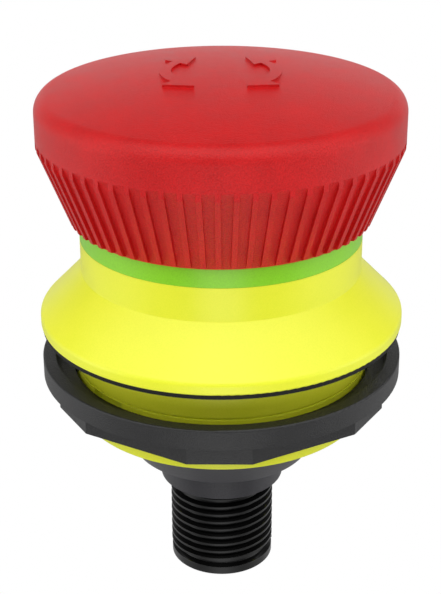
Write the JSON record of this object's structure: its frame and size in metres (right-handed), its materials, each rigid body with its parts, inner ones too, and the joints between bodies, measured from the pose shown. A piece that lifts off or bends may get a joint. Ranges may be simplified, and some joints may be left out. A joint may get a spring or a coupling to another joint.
{
  "type": "emergency stop button",
  "caption": "Panel-mount emergency stop button: ribbed red mushroom head, green indicator ring, yellow flanged collar, clamp nut and rear threaded plug connector.",
  "frame": {"origin": "on the button's axis, at the underside of the flange gasket, the face that seats on the panel", "axes": "+Z along the axis towards the mushroom head; the front of the button faces -Y"},
  "size_m": [0.0404, 0.0404, 0.0592],
  "materials": {
    "cap_red": "fine moulded grain, satin",
    "signal_green": "satin moulded plastic",
    "signal_yellow": "satin moulded plastic",
    "seal_rubber": "matt black rubber",
    "nut_black": "black glass-filled plastic, satin",
    "cover_grey": "dark grey moulded plastic",
    "connector_black": "glossy black moulded plastic",
    "stem_plastic": "natural acetal",
    "latch_plastic": "grey acetal",
    "insulator": "dark insulating moulding",
    "spring_steel": "bright spring steel",
    "contact_brass": "tinned and silvered brass",
    "board_green": "glass-epoxy board with solder mask"
  },
  "bodies": {
    "base": {"housing": "signal_yellow", "indicator_ring": "signal_green", "stem_seal": "seal_rubber", "return_spring": "spring_steel", "flange_gasket": "seal_rubber", "latch_ring": "latch_plastic", "latch_springs": "spring_steel", "contact_base": "insulator", "fixed_contacts": "contact_brass", "circuit_board": "board_green", "board_screws": "spring_steel", "rear_cover": "cover_grey", "cover_seal": "seal_rubber", "connector_shell": "connector_black", "connector_seal": "seal_rubber", "connector_insert": "insulator", "connector_pins": "contact_brass"},
    "carrier": {"contact_carrier": "stem_plastic", "contact_bridge_front": "contact_brass", "contact_bridge_rear": "contact_brass", "contact_springs": "spring_steel"},
    "head": {"mushroom_cap": "cap_red", "cap_clip": "spring_steel", "actuator_stem": "stem_plastic", "stem_circlip": "spring_steel"},
    "pawl_left": {"latch_pawl_left": "latch_plastic"},
    "pawl_right": {"latch_pawl_right": "latch_plastic"},
    "clamp": {"clamp_ring": "nut_black"},
    "nut": {"panel_nut": "nut_black"}
  },
  "joints": [
    {"name": "cap_press", "type": "slide", "parent": "base", "child": "carrier", "axis": [0, 0, 1], "range_m": [-0.004, 0], "stiffness_N_per_m": 2500, "springref_m": 0.004, "deforming": ["return_spring"]},
    {"name": "cap_twist", "type": "hinge", "parent": "carrier", "child": "head", "pos_m": [0, 0, 0], "axis": [0, 0, 1], "range_deg": [-35, 35], "stiffness_Nm_per_rad": 0.05},
    {"name": "pawl_left_slide", "type": "slide", "parent": "base", "child": "pawl_left", "axis": [1, 0, 0], "range_m": [0, 0.001]},
    {"name": "pawl_right_slide", "type": "slide", "parent": "base", "child": "pawl_right", "axis": [-1, 0, 0], "range_m": [0, 0.001]},
    {"name": "nut_travel", "type": "slide", "parent": "base", "child": "clamp", "axis": [0, 0, 1], "range_m": [-0.002, 0.00245]},
    {"name": "nut_spin", "type": "hinge", "parent": "clamp", "child": "nut", "pos_m": [0, 0, -0.007], "axis": [0, 0, 1], "range_deg": [-481, 590]}
  ],
  "couplings": [
    {"joint": "pawl_left_slide", "follows": "cap_press", "ratio": -0.25},
    {"joint": "pawl_right_slide", "follows": "cap_press", "ratio": -0.25},
    {"joint": "nut_spin", "follows": "nut_travel", "rad_per_m": 4188.8}
  ]
}
